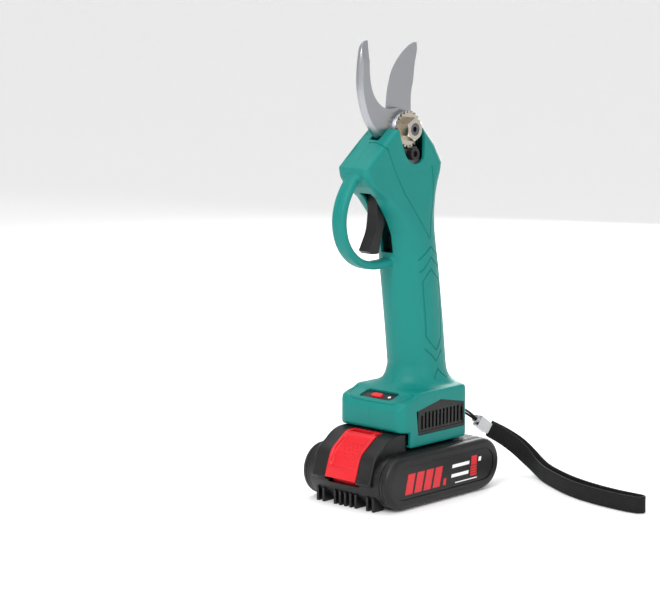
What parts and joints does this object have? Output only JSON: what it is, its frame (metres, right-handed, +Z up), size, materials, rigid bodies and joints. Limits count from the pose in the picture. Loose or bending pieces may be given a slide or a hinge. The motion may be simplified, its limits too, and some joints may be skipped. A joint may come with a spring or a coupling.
{
  "type": "battery electric pruner",
  "caption": "One-handed battery pruner: bypass hook and moving blade driven by a bevel gear, finger guard, trigger and slide-on battery pack.",
  "frame": {"origin": "under the middle of the pack, on the surface that its feet stand on", "axes": "+Z up along the tool, -X forward towards the trigger and finger guard, +X back, -Y the left side, where the pivot nut is"},
  "size_m": [0.1626, 0.1879, 0.2954],
  "materials": {
    "teal_shell": "fine moulded texture, teal",
    "black_plastic": "moulded black plastic",
    "red_plastic": "satin red plastic",
    "light": "clear light pipe",
    "label": "printed panel, red and white blocks on black",
    "board": "green circuit board",
    "cell_wrap": "blue cell sleeve",
    "blade_steel": "ground satin steel",
    "bright_steel": "bright steel",
    "dark_steel": "dark oiled steel",
    "nickel": "nickel plated steel, warm",
    "cast_alloy": "cast alloy",
    "brass": "brass",
    "magnet": "ferrite",
    "copper": "wound copper and laminations",
    "black_screw": "black oxide steel",
    "webbing": "woven black webbing",
    "string": "braided black cord"
  },
  "bodies": {
    "housing": {"housing_left": "teal_shell", "housing_right": "teal_shell", "housing_screws": "dark_steel", "vent_grille_left": "black_plastic", "vent_grille_right": "black_plastic", "control_panel": "black_plastic", "status_light": "light", "control_board": "board", "terminal_block": "black_plastic", "terminal_blades": "brass", "blade_frame": "cast_alloy", "fixed_blade": "blade_steel", "pivot_bolt": "dark_steel", "pivot_bush": "brass", "pivot_washer": "bright_steel", "toothed_disc": "nickel", "pivot_nut": "nickel", "lock_plate": "bright_steel", "lock_screw": "black_screw", "tang_screws": "bright_steel", "pinion_bearing": "bright_steel", "gearbox_case": "cast_alloy", "motor_can": "bright_steel", "motor_magnets": "magnet", "motor_end_cap": "black_plastic", "trigger_pin": "bright_steel", "trigger_spring": "bright_steel", "trigger_switch": "black_plastic", "strap_string": "string", "strap_crimp": "bright_steel", "strap_webbing": "webbing"},
    "blade": {"moving_blade": "blade_steel", "sector_gear": "dark_steel", "sector_screws": "bright_steel"},
    "pinion": {"drive_pinion": "dark_steel"},
    "rotor": {"motor_rotor": "copper"},
    "trigger": {"trigger": "black_plastic"},
    "power_button": {"power_button": "red_plastic"},
    "pack": {"pack_case": "black_plastic", "pack_cap_left": "black_plastic", "pack_cap_right": "black_plastic", "pack_label_left": "label", "pack_label_right": "label", "pack_screws": "dark_steel", "pack_cells": "cell_wrap", "cell_straps": "bright_steel", "pack_board": "board", "pack_terminals": "brass", "charge_socket": "black_plastic", "latch_springs": "bright_steel"},
    "latch": {"latch_button": "red_plastic"}
  },
  "joints": [
    {"name": "motor_spin", "type": "hinge", "parent": "housing", "child": "rotor", "pos_m": [-0.0043, 0, 0.2387], "axis": [-0.1184, 0, 0.993], "range_deg": [-2346.7, 0]},
    {"name": "pinion_spin", "type": "hinge", "parent": "housing", "child": "pinion", "pos_m": [-0.0043, 0, 0.2387], "axis": [-0.1184, 0, 0.993], "range_deg": [-196, 0]},
    {"name": "blade_swing", "type": "hinge", "parent": "housing", "child": "blade", "pos_m": [-0.0043, 0, 0.2387], "axis": [0, -1, 0], "range_deg": [0, 44.1]},
    {"name": "trigger_pull", "type": "hinge", "parent": "housing", "child": "trigger", "pos_m": [-0.0195, 0, 0.195], "axis": [0, -1, 0], "range_deg": [0, 12], "stiffness_Nm_per_rad": 0.4},
    {"name": "power_press", "type": "slide", "parent": "housing", "child": "power_button", "axis": [0.2957, 0, -0.9553], "range_m": [0, 0.0008], "stiffness_N_per_m": 600},
    {"name": "pack_slide", "type": "slide", "parent": "housing", "child": "pack", "axis": [-1, 0, 0], "range_m": [0, 0.075]},
    {"name": "latch_press", "type": "slide", "parent": "pack", "child": "latch", "axis": [0, 0, -1], "range_m": [0, 0.0035], "stiffness_N_per_m": 1200, "deforming": ["latch_springs"]}
  ],
  "couplings": [
    {"joint": "pinion_spin", "follows": "motor_spin", "ratio": 0.083333},
    {"joint": "blade_swing", "follows": "motor_spin", "ratio": -0.01875}
  ]
}
